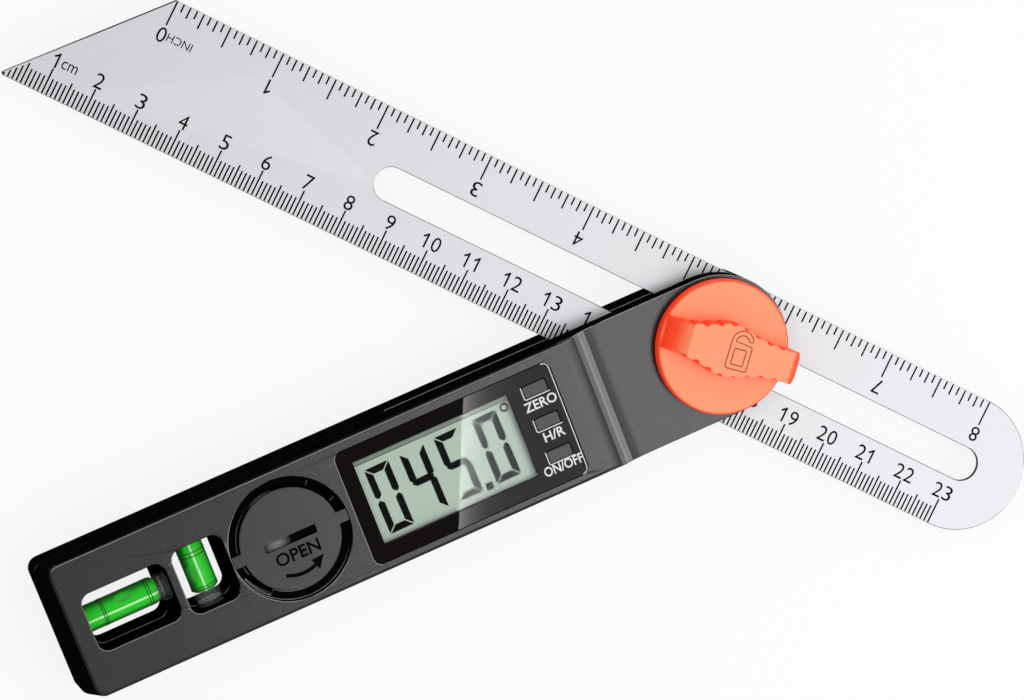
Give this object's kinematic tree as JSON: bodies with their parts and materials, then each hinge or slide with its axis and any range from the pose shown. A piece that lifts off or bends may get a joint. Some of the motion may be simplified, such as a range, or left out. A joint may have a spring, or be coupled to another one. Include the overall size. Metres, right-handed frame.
{
  "type": "digital sliding bevel",
  "caption": "Moulded stock with an angle display, level vials and a coin-cell cover, clamping a slotted, pointed steel rule that turns and slides under an orange lever knob.",
  "frame": {"origin": "on the clamping axis, at the back face of the stock", "axes": "+X along the stock towards its round end, +Y across it towards the side where the pointed end lies, +Z out of the display"},
  "size_m": [0.2125, 0.1777, 0.0215],
  "materials": {
    "black_plastic": "fine satin moulding texture",
    "cover_plastic": "satin",
    "screw_steel": "blackened",
    "lens_black": "polished, printed black round a clear pane",
    "lcd_glass": "grey green, matt polariser",
    "contact_rubber": "matt",
    "board_laminate": "solder resist",
    "chip_resin": "matt",
    "bright_steel": "turned",
    "liner_steel": "blackened",
    "nylon": "natural",
    "rule_steel": "satin",
    "orange_plastic": "semi gloss",
    "brass": "turned",
    "cell_steel": "bright",
    "clear_acrylic": "clear, polished",
    "level_green": "clear green liquid",
    "button_grey": "satin"
  },
  "bodies": {
    "handle": {"front_housing": "black_plastic", "rear_housing": "black_plastic", "housing_screws": "screw_steel", "display_lens": "lens_black", "front_slot_plate": "liner_steel", "rear_slot_plate": "liner_steel", "thrust_washer": "bright_steel", "clamp_bolt": "bright_steel", "level_tube_long": "clear_acrylic", "level_tube_cross": "clear_acrylic", "lcd_panel": "lcd_glass", "zebra_strip": "contact_rubber", "circuit_board": "board_laminate", "controller_chip": "chip_resin", "board_screws": "screw_steel", "dome_switches": "bright_steel", "upper_friction_washer": "nylon", "lower_friction_washer": "nylon", "battery_cell": "cell_steel", "battery_contact_negative": "bright_steel", "battery_contact_positive": "bright_steel", "level_plugs_long": "clear_acrylic", "level_fluid_long": "level_green", "level_plugs_cross": "clear_acrylic", "level_fluid_cross": "level_green"},
    "pivot_hub": {"turn_hub": "bright_steel", "encoder_rotor": "board_laminate"},
    "blade": {"rule_blade": "rule_steel"},
    "lock_knob": {"lock_knob": "orange_plastic", "knob_insert": "brass"},
    "battery_cover": {"battery_cover": "cover_plastic"},
    "button_zero": {"button_zero": "button_grey"},
    "button_hold": {"button_hold": "button_grey"},
    "button_power": {"button_power": "button_grey"}
  },
  "joints": [
    {"name": "blade_turn", "type": "hinge", "parent": "handle", "child": "pivot_hub", "pos_m": [0, 0, 0.0082], "axis": [0, 0, 1], "range_deg": [-106, 24]},
    {"name": "blade_slide", "type": "slide", "parent": "pivot_hub", "child": "blade", "axis": [-0.6626, 0.749, 0], "range_m": [-0.0794, 0.0629]},
    {"name": "knob_turn", "type": "hinge", "parent": "handle", "child": "lock_knob", "pos_m": [0, 0, 0.0136], "axis": [0, 0, 1], "range_deg": [0, 90]},
    {"name": "cover_turn", "type": "hinge", "parent": "handle", "child": "battery_cover", "pos_m": [-0.1026, -0.0002, 0.0134], "axis": [0, 0, 1], "range_deg": [0, 35]},
    {"name": "button_zero_press", "type": "slide", "parent": "handle", "child": "button_zero", "axis": [0, 0, -1], "range_m": [0, 0.0004], "stiffness_N_per_m": 2000},
    {"name": "button_hold_press", "type": "slide", "parent": "handle", "child": "button_hold", "axis": [0, 0, -1], "range_m": [0, 0.0004], "stiffness_N_per_m": 2000},
    {"name": "button_power_press", "type": "slide", "parent": "handle", "child": "button_power", "axis": [0, 0, -1], "range_m": [0, 0.0004], "stiffness_N_per_m": 2000}
  ]
}
